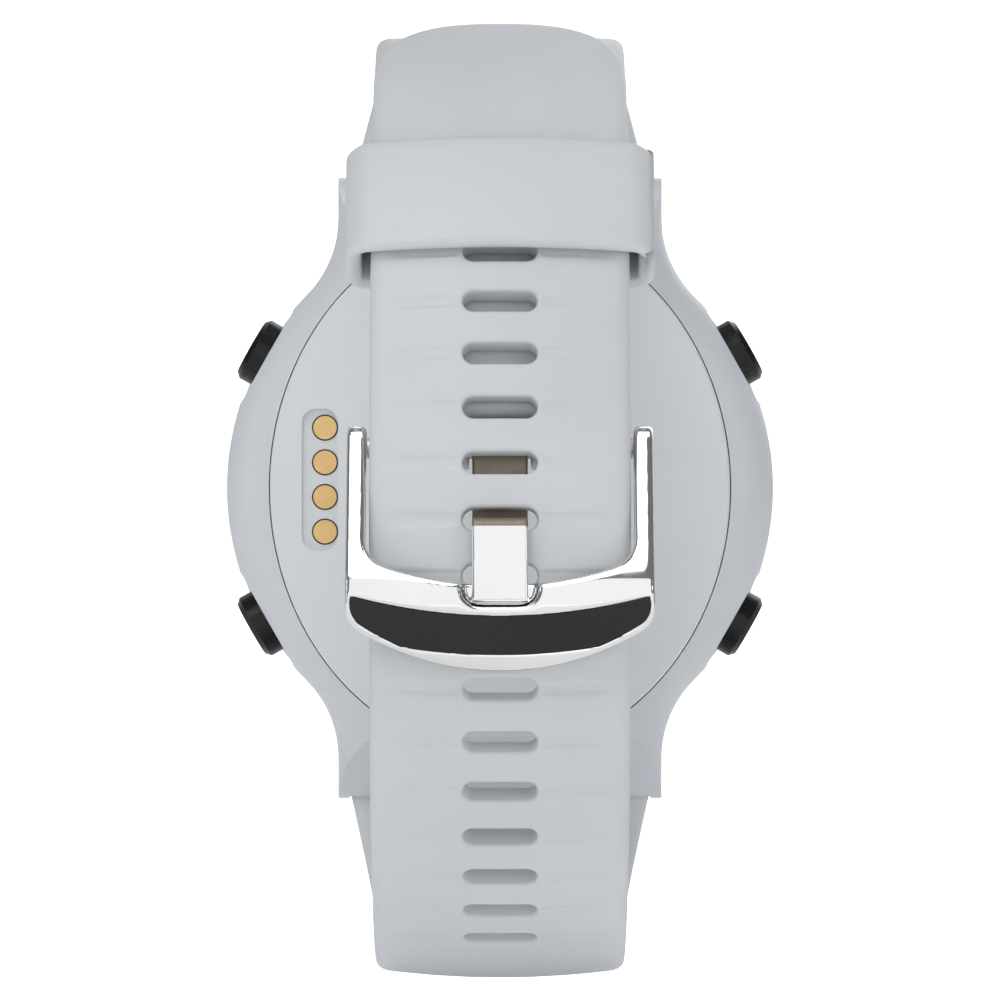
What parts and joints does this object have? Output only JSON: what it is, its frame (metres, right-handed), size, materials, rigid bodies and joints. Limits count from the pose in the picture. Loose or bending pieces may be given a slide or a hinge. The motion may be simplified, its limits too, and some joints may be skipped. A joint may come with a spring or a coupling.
{
  "type": "golf gps watch",
  "caption": "Round golf GPS wristwatch with side push buttons, charging contacts and a slotted rubber strap closed by a tongue buckle and keeper loop.",
  "frame": {"origin": "centre of the back cover's outer face", "axes": "+Z towards 12 o'clock, +Y out of the dial, -Y towards the wrist and the buckle, +X to the right seen from the wrist side"},
  "size_m": [0.05, 0.061, 0.0845],
  "materials": {
    "case_white": "satin white moulding",
    "strap_white": "matte white elastomer",
    "polished_steel": "mirror polished",
    "pin_steel": "turned",
    "inlay_black": "glossy black enamel",
    "gold": "gold plated",
    "seal_rubber": "matte",
    "button_black": "satin black",
    "bezel_metal": "bead blasted",
    "crystal_glass": "clear",
    "display_black": "dark panel",
    "inner_plastic": "moulded black",
    "board_green": "solder mask",
    "flex_amber": "polyimide",
    "battery_foil": "foil pouch",
    "ceramic": "fired"
  },
  "bodies": {
    "watch": {"antenna": "ceramic", "back_cover": "case_white", "back_gasket": "seal_rubber", "battery": "battery_foil", "battery_tray": "inner_plastic", "bezel": "bezel_metal", "board_screws": "pin_steel", "board_shields": "pin_steel", "buckle_bar": "pin_steel", "button_switches": "inner_plastic", "button_tubes": "pin_steel", "case_body": "case_white", "charge_contacts": "gold", "contact_board": "board_green", "contact_flex": "flex_amber", "contact_seals": "seal_rubber", "crystal": "crystal_glass", "crystal_gasket": "seal_rubber", "display_frame": "inner_plastic", "display_panel": "display_black", "lug_pin_lower": "pin_steel", "lug_pin_upper": "pin_steel", "main_board": "board_green", "strap_long": "strap_white", "strap_short": "strap_white", "vibration_motor": "pin_steel"},
    "button_upper_right": {"button_upper_right": "button_black", "button_seal_upper_right": "seal_rubber", "button_clip_upper_right": "pin_steel"},
    "button_upper_left": {"button_upper_left": "button_black", "button_seal_upper_left": "seal_rubber", "button_clip_upper_left": "pin_steel"},
    "button_lower_left": {"button_lower_left": "button_black", "button_seal_lower_left": "seal_rubber", "button_clip_lower_left": "pin_steel"},
    "button_lower_right": {"button_lower_right": "button_black", "button_seal_lower_right": "seal_rubber", "button_clip_lower_right": "pin_steel"},
    "buckle": {"buckle_frame": "polished_steel", "buckle_inlay": "inlay_black"},
    "tongue": {"buckle_tongue": "polished_steel"},
    "keeper": {"keeper": "strap_white"}
  },
  "joints": [
    {"name": "press_upper_right", "type": "slide", "parent": "watch", "child": "button_upper_right", "axis": [-0.8695, 0, -0.4939], "range_m": [0, 0.0006], "stiffness_N_per_m": 900},
    {"name": "press_upper_left", "type": "slide", "parent": "watch", "child": "button_upper_left", "axis": [0.8695, 0, -0.4939], "range_m": [0, 0.0006], "stiffness_N_per_m": 900},
    {"name": "press_lower_left", "type": "slide", "parent": "watch", "child": "button_lower_left", "axis": [0.8695, 0, 0.4939], "range_m": [0, 0.0006], "stiffness_N_per_m": 900},
    {"name": "press_lower_right", "type": "slide", "parent": "watch", "child": "button_lower_right", "axis": [-0.8695, 0, 0.4939], "range_m": [0, 0.0006], "stiffness_N_per_m": 900},
    {"name": "buckle_hinge", "type": "hinge", "parent": "watch", "child": "buckle", "pos_m": [0, -0.03932, 0.00328], "axis": [-1, 0, 0], "range_deg": [0, 4]},
    {"name": "tongue_hinge", "type": "hinge", "parent": "watch", "child": "tongue", "pos_m": [0, -0.03932, 0.00328], "axis": [-1, 0, 0], "range_deg": [0, 4]},
    {"name": "keeper_slide", "type": "hinge", "parent": "watch", "child": "keeper", "pos_m": [0, 0.01335, -0.00795], "axis": [-1, 0, 0], "range_deg": [-11, 11]}
  ],
  "couplings": [
    {"joint": "tongue_hinge", "follows": "buckle_hinge", "ratio": 1}
  ]
}
